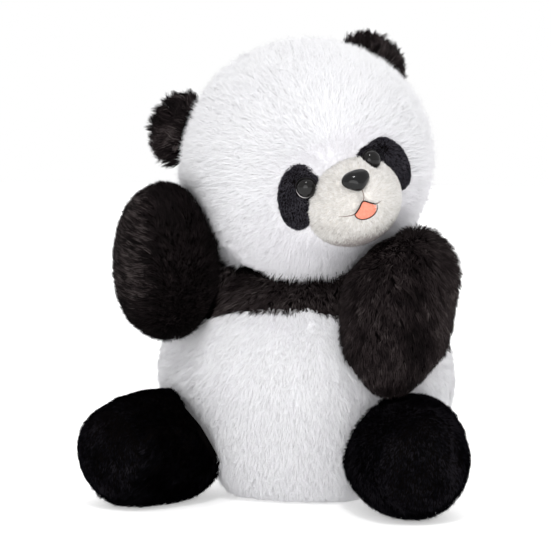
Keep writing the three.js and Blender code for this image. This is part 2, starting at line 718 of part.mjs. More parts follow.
const head = new THREE.Group();
head.position.copy(HEAD_CENTRE);
head.quaternion.copy(headTurn);
panda.add(head);
addHead(head);

addArm(panda, 'right', -1, shoulders.right, RIGHT_ARM_SWING);
addArm(panda, 'left', 1, shoulders.left, LEFT_ARM_SWING);
addLeg(panda, 'right', -1, hips.right);
addLeg(panda, 'left', 1, hips.left);

export default panda;
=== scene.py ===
"""A sitting plush panda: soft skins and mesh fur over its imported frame.

Lengths are in millimetres, except the lights' and the floor's, which are in metres.
"""

import json
import math

import bmesh
import bpy
import numpy as np
from mathutils import Matrix, Vector
from mathutils.bvhtree import BVHTree
from mathutils.kdtree import KDTree


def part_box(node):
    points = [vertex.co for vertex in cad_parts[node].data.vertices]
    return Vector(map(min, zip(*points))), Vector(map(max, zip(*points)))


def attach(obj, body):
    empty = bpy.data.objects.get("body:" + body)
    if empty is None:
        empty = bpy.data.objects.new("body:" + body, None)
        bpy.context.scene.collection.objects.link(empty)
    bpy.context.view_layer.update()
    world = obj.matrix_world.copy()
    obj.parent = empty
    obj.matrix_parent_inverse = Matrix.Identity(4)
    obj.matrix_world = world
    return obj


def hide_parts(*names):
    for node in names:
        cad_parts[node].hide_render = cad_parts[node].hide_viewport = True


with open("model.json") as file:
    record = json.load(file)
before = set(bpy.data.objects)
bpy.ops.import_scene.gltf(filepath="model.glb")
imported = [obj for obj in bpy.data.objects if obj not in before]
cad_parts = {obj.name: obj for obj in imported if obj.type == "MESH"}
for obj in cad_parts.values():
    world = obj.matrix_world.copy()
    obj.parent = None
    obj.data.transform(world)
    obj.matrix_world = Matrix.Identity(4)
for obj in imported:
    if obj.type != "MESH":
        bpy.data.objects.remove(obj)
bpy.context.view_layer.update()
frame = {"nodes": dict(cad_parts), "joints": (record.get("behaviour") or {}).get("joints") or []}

MM = 0.001
SEED = 11


def vec(*values):
    return np.array(values, float)


def unit(a):
    return a / np.maximum(np.linalg.norm(a, axis=-1, keepdims=True), 1e-9)


def turn_z(degrees):
    c, s = math.cos(math.radians(degrees)), math.sin(math.radians(degrees))
    return np.array([[c, -s, 0], [s, c, 0], [0, 0, 1]])


def turn_y(degrees):
    c, s = math.cos(math.radians(degrees)), math.sin(math.radians(degrees))
    return np.array([[c, 0, s], [0, 1, 0], [-s, 0, c]])


# ---- Where things are, as the frame has them ----

HEAD_CENTRE = vec(4.5, -15, 203.5)
HEAD_SIZE = vec(75, 70, 71)
HEAD_TURN = turn_z(32) @ turn_y(-18.5)  # its columns are the head's own left, back and up
MUZZLE_CENTRE = vec(3.1, -57.5, -22.1)  # in the head's own frame: it hangs a little down and to its left
MUZZLE_SIZE = vec(28.7, 31.5, 26)
TORSO_CENTRE = vec(0, 0, 74)
EYE = {"radius": 5.6, "bulge": 4.4, "stand": 2.1}
EYE_PLACES = {-1: (-19, -4.2), 1: (15, -2)}  # longitude and latitude on the head, right then left
PATCH = {"width": 21, "height": 38, "lean": 22, "round_eye": 3.6, "roll": 6.5}
PATCH_PLACES = {-1: (-25.3, -8.4), 1: (29, -8)}
NOSE = {"width": 16.4, "height": 12.4, "bulge": 5.2, "down": 9.4, "aside": 1, "facing": 26, "stand": 1.9}
MOUTH = [(-15.5, -23.6), (-11, -25), (-7.2, -25.4), (-3.6, -23.2), (0, -20.6),
         (3.6, -23.2), (7.2, -25.4), (13.5, -24.6), (21, -21.8)]
MOUTH_ROLL = 5.4  # degrees, about the middle of the open mouth
MOUTH_MIDDLE = (0.4, -26)
LIP = 7.2  # half the width of the open mouth
TONGUE_BOTTOM = -31.2
TONGUE_OUTLINE_PLACES = 13
# An ear: the direction of its root on the head, and the size of the root.
EAR = {"side": 0.82, "back": 0.17, "up": 0.545, "half_length": 20, "half_thick": 7}
# A leg: its middle, how it splays and dips in degrees, and where along it the sole panel starts.
LEG = {"side": 77, "front": -61, "height": 34.6, "splay": 29, "dip": 1, "half_length": 46, "sole_from": 0.74}
BELLY_ARCH = {"middle": -42, "radius": 160}  # where the white belly meets the black chest
BARE = {"depth": 2.5, "neck": 34, "limb": 24}  # the torso's flat faces at its joints, which have no pile
JOINTS = {j["child"]: (vec(*j["pos_m"]) / MM, unit(vec(*j["axis"]))) for j in frame["joints"]}


def to_head(points):
    """Points of the frame in the head's own frame."""
    return (points - HEAD_CENTRE) @ HEAD_TURN


def from_head(points):
    return points @ HEAD_TURN.T + HEAD_CENTRE


def face_direction(longitude, latitude):
    side, rise = math.radians(longitude), math.radians(latitude)
    return vec(math.sin(side) * math.cos(rise), -math.cos(side) * math.cos(rise), math.sin(rise))


# ---- Camera, floor and light ----

AZIMUTH, ELEVATION = 16, 4.2
DISTANCE = 1300
PIXELS_PER_MM = 1.62
IMAGE = 551
SIDEWAYS = vec(math.cos(math.radians(AZIMUTH)), math.sin(math.radians(AZIMUTH)), 0)  # the camera's right
UPWARDS = vec(0, 0, 1)
AIM = -18.2 * SIDEWAYS + 134.2 * UPWARDS
LIGHT_AIM = (0, -0.02, 0.14)
LIGHTS = (  # each one's name, place, width and watts
    ("key", (0.25, -0.85, 1.15), 0.16, 4.3),
    ("fill", (0.3, -1.3, 0.12), 0.9, 5),
    ("top", (0.1, 0.25, 1.2), 0.7, 1),
)
FLOOR_REACH = 6


def add_camera():
    turn, rise = math.radians(AZIMUTH), math.radians(ELEVATION)
    forward = vec(-math.sin(turn) * math.cos(rise), math.cos(turn) * math.cos(rise), -math.sin(rise))
    data = bpy.data.cameras.new("camera")
    data.sensor_width = 36
    data.lens = PIXELS_PER_MM * DISTANCE * data.sensor_width / IMAGE
    data.clip_start = 0.05
    camera = bpy.data.objects.new("camera", data)
    up = np.cross(SIDEWAYS, forward)
    facing = Matrix(np.column_stack([SIDEWAYS, up, -forward]).tolist()).to_4x4()
    camera.matrix_world = Matrix.Translation(Vector((AIM - forward * DISTANCE) * MM)) @ facing
    bpy.context.scene.collection.objects.link(camera)
    bpy.context.scene.camera = camera


def add_light(name, place, size, watts):
    data = bpy.data.lights.new(name, "AREA")
    data.shape = "DISK"
    data.size = size
    data.energy = watts
    light = bpy.data.objects.new(name, data)
    light.location = place
    light.rotation_euler = (Vector(LIGHT_AIM) - Vector(place)).to_track_quat("-Z", "Y").to_euler()
    bpy.context.scene.collection.objects.link(light)


def add_studio():
    world = bpy.data.worlds.new("studio")
    world.use_nodes = True
    world.node_tree.nodes["Background"].inputs["Color"].default_value = (1, 1, 1, 1)
    world.node_tree.nodes["Background"].inputs["Strength"].default_value = 1.0
    bpy.context.scene.world = world
    bpy.context.scene.view_settings.view_transform = "Standard"
    for light in LIGHTS:
        add_light(*light)
    mesh = bpy.data.meshes.new("floor")
    corners = [(x * FLOOR_REACH, y * FLOOR_REACH, 0) for x, y in ((-1, -1), (1, -1), (1, 1), (-1, 1))]
    mesh.from_pydata(corners, [], [(0, 1, 2, 3)])
    floor = bpy.data.objects.new("floor", mesh)
    pale = plain("floor_pale", (1, 1, 1), 0.9, Specular_IOR_Level=0.0, Emission_Strength=0.4)
    floor.data.materials.append(pale)
    bpy.context.scene.collection.objects.link(floor)


# ---- Materials ----


def plain(name, colour, roughness, **sockets):
    """A material whose values are the same all over."""
    material = bpy.data.materials.new(name)
    material.use_nodes = True
    shader = material.node_tree.nodes["Principled BSDF"]
    shader.inputs["Base Color"].default_value = (*colour, 1)
    shader.inputs["Roughness"].default_value = roughness
    for key, value in sockets.items():
        shader.inputs[key.replace("_", " ")].default_value = value
    return material


def cloth(name, dark, light, grain, depth, roughness=0.95, shine=0.2):
    """Knitted backing or felt: a fine grain with a slow drift of colour."""
    material = plain(name, light, roughness, Specular_IOR_Level=shine)
    tree = material.node_tree
    shader = tree.nodes["Principled BSDF"]
    place = tree.nodes.new("ShaderNodeTexCoord")
    fine = tree.nodes.new("ShaderNodeTexNoise")
    fine.inputs["Scale"].default_value = grain
    fine.inputs["Detail"].default_value = 4
    slow = tree.nodes.new("ShaderNodeTexNoise")
    slow.inputs["Scale"].default_value = grain / 14
    slow.inputs["Detail"].default_value = 2
    both = tree.nodes.new("ShaderNodeMix")
    both.inputs["Factor"].default_value = 0.5
    ramp = tree.nodes.new("ShaderNodeValToRGB")
    ramp.color_ramp.elements[0].position = 0.3
    ramp.color_ramp.elements[0].color = (*dark, 1)
    ramp.color_ramp.elements[1].position = 0.68
    ramp.color_ramp.elements[1].color = (*light, 1)
    bump = tree.nodes.new("ShaderNodeBump")
    bump.inputs["Strength"].default_value = 0.5
    bump.inputs["Distance"].default_value = depth * MM
    link = tree.links.new
    link(place.outputs["Object"], fine.inputs["Vector"])
    link(place.outputs["Object"], slow.inputs["Vector"])
    link(fine.outputs["Fac"], both.inputs[2])
    link(slow.outputs["Fac"], both.inputs[3])
    link(both.outputs[0], ramp.inputs["Fac"])
    link(ramp.outputs["Color"], shader.inputs["Base Color"])
    link(fine.outputs["Fac"], bump.inputs["Height"])
    link(bump.outputs["Normal"], shader.inputs["Normal"])
    return material


def pile(name, colours, roughness, **sockets):
    """The constant shades that the strands of one fur are shared out between."""
    return [plain(f"{name}_{k}", colour, roughness, **sockets) for k, colour in enumerate(colours)]


# ---- Skins ----


class Skin:
    """A closed triangle mesh: points, triangles, edges and point normals."""

    def __init__(self, points, triangles):
        self.points = points
        self.triangles = triangles
        pairs = np.vstack([triangles[:, [0, 1]], triangles[:, [1, 2]], triangles[:, [2, 0]]])
        self.edges = np.unique(np.sort(pairs, axis=1), axis=0)
        self.measure()

    def measure(self):
        a, b, c = (self.points[self.triangles[:, k]] for k in range(3))
        self.faces = np.cross(b - a, c - a)
        normals = np.zeros_like(self.points)
        for k in range(3):
            np.add.at(normals, self.triangles[:, k], self.faces)
        self.normals = unit(normals)

    def mean_of_neighbours(self, values):
        total = np.zeros_like(values)
        count = np.zeros(len(values))
        for i, j in ((0, 1), (1, 0)):
            np.add.at(total, self.edges[:, i], values[self.edges[:, j]])
            np.add.at(count, self.edges[:, i], 1)
        return total / (count if values.ndim == 1 else count[:, None])

    def relax(self, rounds, share=0.5):
        for _ in range(rounds):
            self.points += share * (self.mean_of_neighbours(self.points) - self.points)
        self.measure()
        return self

    def tree(self):
        return BVHTree.FromPolygons(self.points.tolist(), self.triangles.tolist())

    def area(self):
        return float(np.linalg.norm(self.faces, axis=1).sum() / 2)

    def cut_out(self, part):
        """The points and triangles of a part of the skin, given as a choice of its triangles."""
        used, renumbered = np.unique(self.triangles[part], return_inverse=True)
        return self.points[used], renumbered.reshape(-1, 3)


def ball(detail):
    bm = bmesh.new()
    bmesh.ops.create_icosphere(bm, subdivisions=detail, radius=1)
    points = np.array([v.co[:] for v in bm.verts])
    triangles = np.array([[v.index for v in f.verts] for f in bm.faces])
    bm.free()
    return unit(points), triangles


def node_tree(name):
    mesh = frame["nodes"][name].data
    points = [tuple(v.co / MM) for v in mesh.vertices]
    return BVHTree.FromPolygons(points, [tuple(p.vertices) for p in mesh.polygons])


def wrapped(nodes, centre, detail=6, rounds=4):
    """A skin over the outside of some CAD nodes, as they are seen from a centre; small holes are bridged."""
    directions, triangles = ball(detail)
    trees = [node_tree(name) for name in nodes]
    far = 300
    reach = np.zeros(len(directions))
    for k, direction in enumerate(directions):
        start = Vector(centre + far * direction)
        for tree in trees:
            hit = tree.ray_cast(start, Vector(-direction))
            if hit[0] is not None:
                reach[k] = max(reach[k], far - hit[3])
    skin = Skin(directions * reach[:, None], triangles)
    for _ in range(3):
        reach = np.maximum(reach, skin.mean_of_neighbours(reach))
    skin.points = centre + directions * reach[:, None]
    return skin.relax(rounds)


def swell(skin, amount):
    """Moves each point of a skin out by its own amount, but not into the table."""
    skin.points += amount[:, None] * skin.normals
    skin.points[:, 2] = np.maximum(skin.points[:, 2], 0)
    skin.measure()


def drift(points, scale, seed):
    """A smooth random value from about -1 to 1 at each point: a few waves in random directions."""
    rng = np.random.default_rng(seed)
    total = np.zeros(len(points))
    for _ in range(7):
        wave = unit(rng.normal(size=3)) * (2 * math.pi / scale) * rng.uniform(0.6, 1.5)
        total += np.sin(points @ wave + rng.uniform(0, 2 * math.pi))
    return total / 3.5


def put(name, mesh, body):
    """Puts a mesh in the scene as a piece that rides on a body."""
    made = bpy.data.objects.new(name, mesh)
    bpy.context.scene.collection.objects.link(made)
    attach(made, body)
    return made


def add_object(name, points, polygons, body, materials, slot_name):
    mesh = bpy.data.meshes.new(name)
    mesh.from_pydata((np.asarray(points) * MM).tolist(), [], [list(map(int, p)) for p in polygons])
    mesh.validate()
    mesh.shade_smooth()
    for material in materials:
        mesh.materials.append(material)
    return put(name, mesh, body)


# ---- Fur ----

DENSITY = 1.0
PER_MM2 = {  # strands on each square millimetre of a cover
    "head": 2.1,
    "muzzle": 4.5,
    "patch": 5.5,
    "ear": 2.4,
    "torso": 1.9,
    "arm": 2.1,
    "leg": 2.0,
    "tail": 2.2,
}
FEWEST_STRANDS = 60
LENGTHS = {  # of the pile, before each cover's own changes
    "head": 8.5,
    "muzzle": 2.4,
    "patch": 1.9,
    "ear": 10.5,
    "torso": 7.5,
    "arm": 7.0,
    "leg": 5.0,
    "sole": 2.6,
    "tail": 8.0,
}
STRAND_SIDES = 3
STRAND_STEPS = (0.0, 0.6)
STRAND_WIDTHS = (1.0, 0.85)
ROOT_DEPTH = 0.4
SAG = 0.08  # how much a tip's own weight turns it down
ROUNDNESS = 0.7  # how much the shading goes round a strand, and doesn't just follow the skin
MIDDLE_GATHER = 0.35  # how far a strand's middle follows its lock, as a share of its tip
APART = {"middle": 0.85, "tip": 0.35}  # the distance from their lock's leader that gathered strands keep
LOWEST = 0.4  # how far above the table strands stop


def scattered(skin, cover, seed):
    """Random roots on a skin, as many as its kind of cover has, and the way out at each."""
    rng = np.random.default_rng(seed)
    count = max(FEWEST_STRANDS, int(skin.area() * PER_MM2[cover] * DENSITY))
    size = np.linalg.norm(skin.faces, axis=1)
    chosen = rng.choice(len(size), size=count, p=size / size.sum())
    u = rng.random(count)
    v = rng.random(count)
    over = u + v > 1
    u[over], v[over] = 1 - u[over], 1 - v[over]
    corner = skin.triangles[chosen]
    weights = (1 - u - v, u, v)
    roots = sum(w[:, None] * skin.points[corner[:, k]] for k, w in enumerate(weights))
    normals = sum(w[:, None] * skin.normals[corner[:, k]] for k, w in enumerate(weights))
    return roots, unit(normals)


def nearest(places, centres):
    tree = KDTree(len(centres))
    for k, place in enumerate(centres):
        tree.insert(place, k)
    tree.balance()
    return np.array([tree.find(place)[1] for place in places])


def free_length(roots, normals, length, neighbours):
    """Shortens what would grow into another body's skin."""
    room = length.copy()
    for tree in neighbours:
        for k in range(len(roots)):
            hit = tree.ray_cast(Vector(roots[k] + 0.2 * normals[k]), Vector(normals[k]), 1.3 * length[k])
            if hit[0] is not None:
                room[k] = min(room[k], 0.45 * hit[3])
    return room


def add_fur(
    name,
    body,
    roots,
    normals,
    comb,
    length,
    shades,
    tone,
    width=0.28,
    lift=(0.85, 0.6),
    stray=0.13,
    clump=12,
    pull=(0.05, 0.45),
    joined=1.0,
    swirl=0.2,
    spread=0.1,
    seed=1,
):
    """Tapered three-sided strands, combed along a direction, gathered in locks and coloured from a tone at
    each place, which on some covers holds painted light and shade.
    """
    rng = np.random.default_rng(seed)
    count = len(roots)
    locks = rng.choice(count, size=max(4, count // clump), replace=False)
    lock = nearest(roots, roots[locks])
    leader = locks[lock]

    along = unit(comb - np.sum(comb * normals, axis=1, keepdims=True) * normals)
    turn = rng.normal(0, swirl, len(locks))[lock][:, None]
    along = along * np.cos(turn) + np.cross(normals, along) * np.sin(turn)
    length = length * rng.uniform(0.8, 1.12, count) * rng.uniform(0.85, 1.15, len(locks))[lock]

    def heading(raised, scatter):
        way = normals * raised + along * math.sqrt(1 - raised**2)
        return unit(way + rng.normal(0, scatter, (count, 3)))

    down = vec(0, 0, -SAG)
    base = roots - ROOT_DEPTH * normals
    first = heading(lift[0], stray)
    second = unit(heading(lift[1], stray * 1.2) + down)
    middle = base + first * (length * 0.5)[:, None]
    tip = middle + second * (length * 0.5)[:, None]
    gather = (joined * rng.uniform(*pull, len(locks))[lock])[:, None]
    offset = base - base[leader]
    tip = tip + gather * (tip[leader] + APART["tip"] * offset - tip)
    middle = middle + MIDDLE_GATHER * gather * (middle[leader] + APART["middle"] * offset - middle)

    start = unit(np.cross(first, rng.normal(size=(count, 3))))
    rings, leans = [], []
    for t, share in zip(STRAND_STEPS, STRAND_WIDTHS):
        place = (1 - t) ** 2 * base + 2 * t * (1 - t) * middle + t**2 * tip
        going = unit((1 - t) * (middle - base) + t * (tip - middle))
        one = unit(start - np.sum(start * going, axis=1, keepdims=True) * going)
        two = np.cross(going, one)
        for k in range(STRAND_SIDES):
            angle = 2 * math.pi * k / STRAND_SIDES
            out = math.cos(angle) * one + math.sin(angle) * two
            rings.append(place + out * width * share / 2)
            leans.append(unit(normals + ROUNDNESS * out))
    rings.append(tip)
    leans.append(unit(normals + ROUNDNESS * unit(tip - middle)))
    points = np.stack(rings, axis=1).reshape(-1, 3)
    points[:, 2] = np.maximum(points[:, 2], LOWEST)

    pattern, starts = [], []
    for k in range(STRAND_SIDES):
        following = (k + 1) % STRAND_SIDES
        starts.append(len(pattern))
        pattern += [k, following, following + STRAND_SIDES, k + STRAND_SIDES]
        starts.append(len(pattern))
        pattern += [k + STRAND_SIDES, following + STRAND_SIDES, 2 * STRAND_SIDES]
    each = 2 * STRAND_SIDES + 1
    corners = (np.arange(count)[:, None] * each + np.array(pattern)).ravel()
    begin = (np.arange(count)[:, None] * len(pattern) + np.array(starts)).ravel()

    mesh = bpy.data.meshes.new(name)
    mesh.vertices.add(count * each)
    mesh.vertices.foreach_set("co", (points * MM).astype(np.float32).ravel())
    mesh.loops.add(len(corners))
    mesh.loops.foreach_set("vertex_index", corners.astype(np.int32))
    mesh.polygons.add(len(begin))
    mesh.polygons.foreach_set("loop_start", begin.astype(np.int32))
    for material in shades:
        mesh.materials.append(material)
    blend = tone + spread * (rng.normal(size=count) + rng.normal(size=len(locks))[lock])
    index = np.clip((blend * len(shades)).astype(int), 0, len(shades) - 1)
    mesh.polygons.foreach_set("material_index", np.repeat(index, len(starts)).astype(np.int32))
    mesh.update(calc_edges=True)
    mesh.normals_split_custom_set_from_vertices(np.stack(leans, axis=1).reshape(-1, 3).tolist())
    put(name, mesh, body)


# ---- The soft bodies ----

WHITE = pile(
    "white_fur",
    [(0.81, 0.80, 0.83), (0.86, 0.85, 0.88), (0.90, 0.89, 0.92), (0.93, 0.93, 0.95), (0.95, 0.95, 0.965)],
    0.8,
    Specular_IOR_Level=0.2,
)
# The first, brownest cream shade is there for the painted shade at the muzzle's bottom.
CREAM = pile(
    "cream_fur",
    [(0.38, 0.34, 0.33), (0.60, 0.58, 0.55), (0.69, 0.67, 0.64), (0.77, 0.75, 0.72), (0.86, 0.84, 0.82)],
    0.85,
    Specular_IOR_Level=0.1,
)
BLACK = pile(
    "black_fur",
    [
        (0.003, 0.002, 0.002),
        (0.008, 0.0055, 0.0058),
        (0.018, 0.013, 0.0135),
        (0.036, 0.028, 0.028),
        (0.09, 0.075, 0.073),
    ],
    0.7,
    Specular_IOR_Level=0.06,
)
LEG_BLACK = pile(
    "leg_fur",
    [(0.0005, 0.0004, 0.0005), (0.002, 0.0018, 0.0024), (0.005, 0.0046, 0.006), (0.012, 0.011, 0.0135)],
    0.8,
    Specular_IOR_Level=0.0,
)
PATCH_BLACK = pile(
    "patch_fur",
    [(0.018, 0.017, 0.021), (0.033, 0.031, 0.038), (0.052, 0.049, 0.058)],
    0.8,
    Specular_IOR_Level=0.0,
)
WHITE_BACKING = cloth("white_backing", (0.72, 0.70, 0.72), (0.88, 0.88, 0.90), 900, 0.3)
CREAM_BACKING = cloth("cream_backing", (0.60, 0.56, 0.51), (0.76, 0.73, 0.69), 900, 0.3)
BLACK_BACKING = cloth("black_backing", (0.0008, 0.0006, 0.0006), (0.003, 0.0024, 0.0024), 900, 0.3, shine=0.0)

EYE_GLOSS = plain("eye_gloss", (0.003, 0.0025, 0.0025), 0.05, IOR=1.4, Specular_IOR_Level=0.42)
EYE_RIM = plain("eye_rim", (0.006, 0.005, 0.005), 0.35, Specular_IOR_Level=0.1)
# A painted highlight: the colour of a thin pale thread on each eye's lower edge.
EYE_GLINT = plain("eye_lower_edge_painted_glint", (0.72, 0.70, 0.70), 0.3)
NOSE_GLOSS = plain("nose_gloss", (0.003, 0.003, 0.0032), 0.13, IOR=1.4, Specular_IOR_Level=0.4)
THREAD_BLACK = plain("thread_black", (0.008, 0.006, 0.006), 0.8, Specular_IOR_Level=0.1)
THREAD_BROWN = plain("thread_brown", (0.2, 0.15, 0.13), 0.85, Specular_IOR_Level=0.1)
TONGUE_FELT = cloth("tongue_felt", (0.70, 0.20, 0.13), (0.88, 0.33, 0.24), 700, 0.2)

head = wrapped(["head_cover", "head_stuffing"], HEAD_CENTRE)
torso = wrapped(["chest_cover", "belly_cover", "torso_stuffing"], TORSO_CENTRE)
torso.points[:, 0] *= 1 + 0.045 * np.exp(-(((torso.points[:, 2] - 62) / 45) ** 2))
torso.measure()
arms = {}
legs = {}
for side in ("right", "left"):
    for limbs, nodes in (
        (arms, [f"arm_{side}_cover", f"arm_{side}_stuffing"]),
        (legs, [f"leg_{side}_cover", f"foot_{side}_sole", f"leg_{side}_stuffing"]),
    ):
        low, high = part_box(nodes[0])
        centre = vec(*((low + high) / 2)) / MM
        limbs[side] = wrapped(nodes, centre)

# The plane in which the head bears on the left arm: a place in it, and the way up out of it.
PRESS = {"low": 24.7 * SIDEWAYS + 142.5 * UPWARDS, "out": unit(UPWARDS - 0.587 * SIDEWAYS)}


def pressed(points):
    """From 0 to 1: how much the head bears on the top of the left arm at each point."""
    return np.clip(((points - PRESS["low"]) @ PRESS["out"] + 6) / 8, 0, 1)


def leg_top(points):
    return np.clip((points[:, 2] - 46) / 14, 0, 1)


def aside(skin, points):
    """How far each point is to the side of a skin's middle, towards the toy's left."""
    return (points - skin.points.mean(axis=0)) @ SIDEWAYS


def outer_crest(skin, points):
    """From 0 to 1 towards the outer top of the left arm, which stands up beside the head."""
    rise = points[:, 2] - skin.points[:, 2].mean()
    share = np.clip(aside(skin, points) / 22 + 0.15, 0, 1) * np.clip((rise - 4) / 36, 0, 1)
    return share * share * (3 - 2 * share)


# Where the limbs are fuller or flatter than their covers in the frame.

swell(arms["right"], 2.0 - 2.2 * np.clip(aside(arms["right"], arms["right"].points) / 18, -1, 0.7))
crest = outer_crest(arms["left"], arms["left"].points)
paw = np.clip((arms["left"].points[:, 2].mean() - 20 - arms["left"].points[:, 2]) / 12, 0, 1)
swell(arms["left"], 1.8 - 3.0 * pressed(arms["left"].points) * (1 - crest) + 3.0 * crest - 2.4 * paw)
swell(legs["right"], 2.0 - 3.0 * leg_top(legs["right"].points))
outer_top = leg_top(legs["left"].points) * np.clip(aside(legs["left"], legs["left"].points) / 14, 0, 1)
swell(legs["left"], 0.4 + 2.6 * outer_top)
TREES = {"head": head.tree(), "torso": torso.tree()}
for side in ("right", "left"):
    TREES[f"arm_{side}"] = arms[side].tree()
    TREES[f"leg_{side}"] = legs[side].tree()


def neighbours(*bodies):
    return [TREES[body] for body in bodies]


# The head: white fur, open at the face for the patches and the muzzle.


def head_normal(direction):
    return unit(direction / HEAD_SIZE**2)


def on_head(direction, height=0.0):
    return direction / np.linalg.norm(direction / (HEAD_SIZE + height))


def patch_frame(side):
    direction = face_direction(*PATCH_PLACES[side])
    out = head_normal(direction)
    across = unit(np.cross(vec(0, 0, 1), out))
    up = np.cross(out, across)
    roll = math.radians(PATCH["roll"])
    inward = (math.cos(roll) * across + math.sin(roll) * up) * -side
    return on_head(direction), inward, math.cos(roll) * up - math.sin(roll) * across, out


def patch_reach(angle, side):
    """How far a patch goes from its middle at an angle: 0 is towards the nose, a quarter turn is up."""
    lean = math.radians(PATCH["lean"])
    a, b = PATCH["width"] / 2, PATCH["height"] / 2
    turned = angle + lean
    oval = 1 / np.sqrt((np.cos(turned) / a) ** 2 + (np.sin(turned) / b) ** 2)
    corner = np.exp(-(((angle - math.radians(38)) / 0.42) ** 2))
    foot = np.clip(-np.sin(angle), 0, 1) ** 3
    middle, inward, up, _ = patch_frame(side)
    eye = eye_seat(side)[0] - middle
    eye_u, eye_v = eye @ inward, eye @ up
    ahead = eye_u * np.cos(angle) + eye_v * np.sin(angle)
    chord = (EYE["radius"] + PATCH["round_eye"]) ** 2 - (eye_u**2 + eye_v**2 - ahead**2)
    round_eye = np.where((chord > 0) & (ahead > 0), ahead + np.sqrt(np.maximum(chord, 0)), 0)
    return np.maximum(oval * (1 + 0.3 * corner + 0.08 * foot), round_eye)


def inside_patch(points, side, margin=0.0):
    middle, inward, up, out = patch_frame(side)
    local = points - middle
    u, v = local @ inward, local @ up
    near = (local @ out) > -18
    return near & (np.hypot(u, v) < patch_reach(np.arctan2(v, u), side) + margin)


def inside_muzzle(points, margin=0.0):
    return np.linalg.norm((points - MUZZLE_CENTRE) / (MUZZLE_SIZE + margin), axis=1) < 1


def ear_frame(side):
    direction = unit(vec(side * EAR["side"], EAR["back"], EAR["up"]))
    out = head_normal(direction)
    along = unit(np.cross(out, vec(0, 1, 0)))
    return on_head(direction), along, unit(np.cross(along, out)), out


def beyond_ear(points, side):
    """How far points are from an ear's root: 1 is its rim."""
    root, along, through, _ = ear_frame(side)
    local = points - root
    return np.hypot(local @ along / EAR["half_length"], local @ through / EAR["half_thick"])


def eye_seat(side):
    direction = face_direction(*EYE_PLACES[side])
    return on_head(direction), head_normal(direction)


def beyond_eye(points, side):
    """How far points are from the line through an eye's middle."""
    place, out = eye_seat(side)
    local = points - place
    return np.linalg.norm(local - (local @ out)[:, None] * out, axis=1)


def add_head():
    skin = add_object("head_skin", head.points, head.triangles, "head", [WHITE_BACKING], "white_plush")
    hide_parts("head_cover")
    roots, normals = scattered(head, "head", SEED)
    local = to_head(roots)
    open_face = ~inside_muzzle(local, -1.5) & ~inside_patch(local, -1, -0.8) & ~inside_patch(local, 1, -0.8)
    neck_point, neck_axis = JOINTS["head"]
    above_neck = (roots - neck_point) @ neck_axis > 5
    keep = open_face & above_neck
    roots, normals, local = roots[keep], normals[keep], local[keep]
    from_muzzle = local - MUZZLE_CENTRE
    comb = unit(from_muzzle) + vec(0, 0.3, -0.3)
    edge = np.linalg.norm(from_muzzle / MUZZLE_SIZE, axis=1)
    length = LENGTHS["head"] + 0.5 * drift(roots, 60, 3)
    length *= np.clip((edge - 0.85) / 0.7, 0.3, 1)
    under = np.clip(-(local[:, 2] + 30) / 30, 0, 1)
    length += 1.5 * under
    for side in (-1, 1):
        length *= 0.25 + 0.75 * np.clip(beyond_ear(local, side) - 0.9, 0, 1)
    length = free_length(roots, normals, length, neighbours("torso", "arm_right", "arm_left"))
    # Painted shade: the white pile is darker towards the bottom of the head, just under the muzzle and on the
    # brow just above it. low also gathers the lower strands into locks.
    low = np.clip((22 - local[:, 2]) / 55, 0, 1)
    chin_shade = np.exp(-(((edge - 1.1) / 0.2) ** 2)) * np.clip((-34 - local[:, 2]) / 8, 0, 1)
    brow_shade = np.exp(-(((edge - 1) / 0.45) ** 2)) * np.clip((local[:, 2] + 12) / 12, 0, 1)
    tone = 0.8 - 0.26 * low - 0.6 * chin_shade - 0.6 * brow_shade + 0.06 * drift(roots, 45, 5)
    add_fur(
        "head_fur", "head", roots, normals, comb @ HEAD_TURN.T, length, WHITE, tone,
        joined=0.25 + 0.55 * low * (1 - under), pull=(0.02, 0.24), stray=0.2, swirl=0.36, spread=0.05,
        seed=SEED + 1,
    )


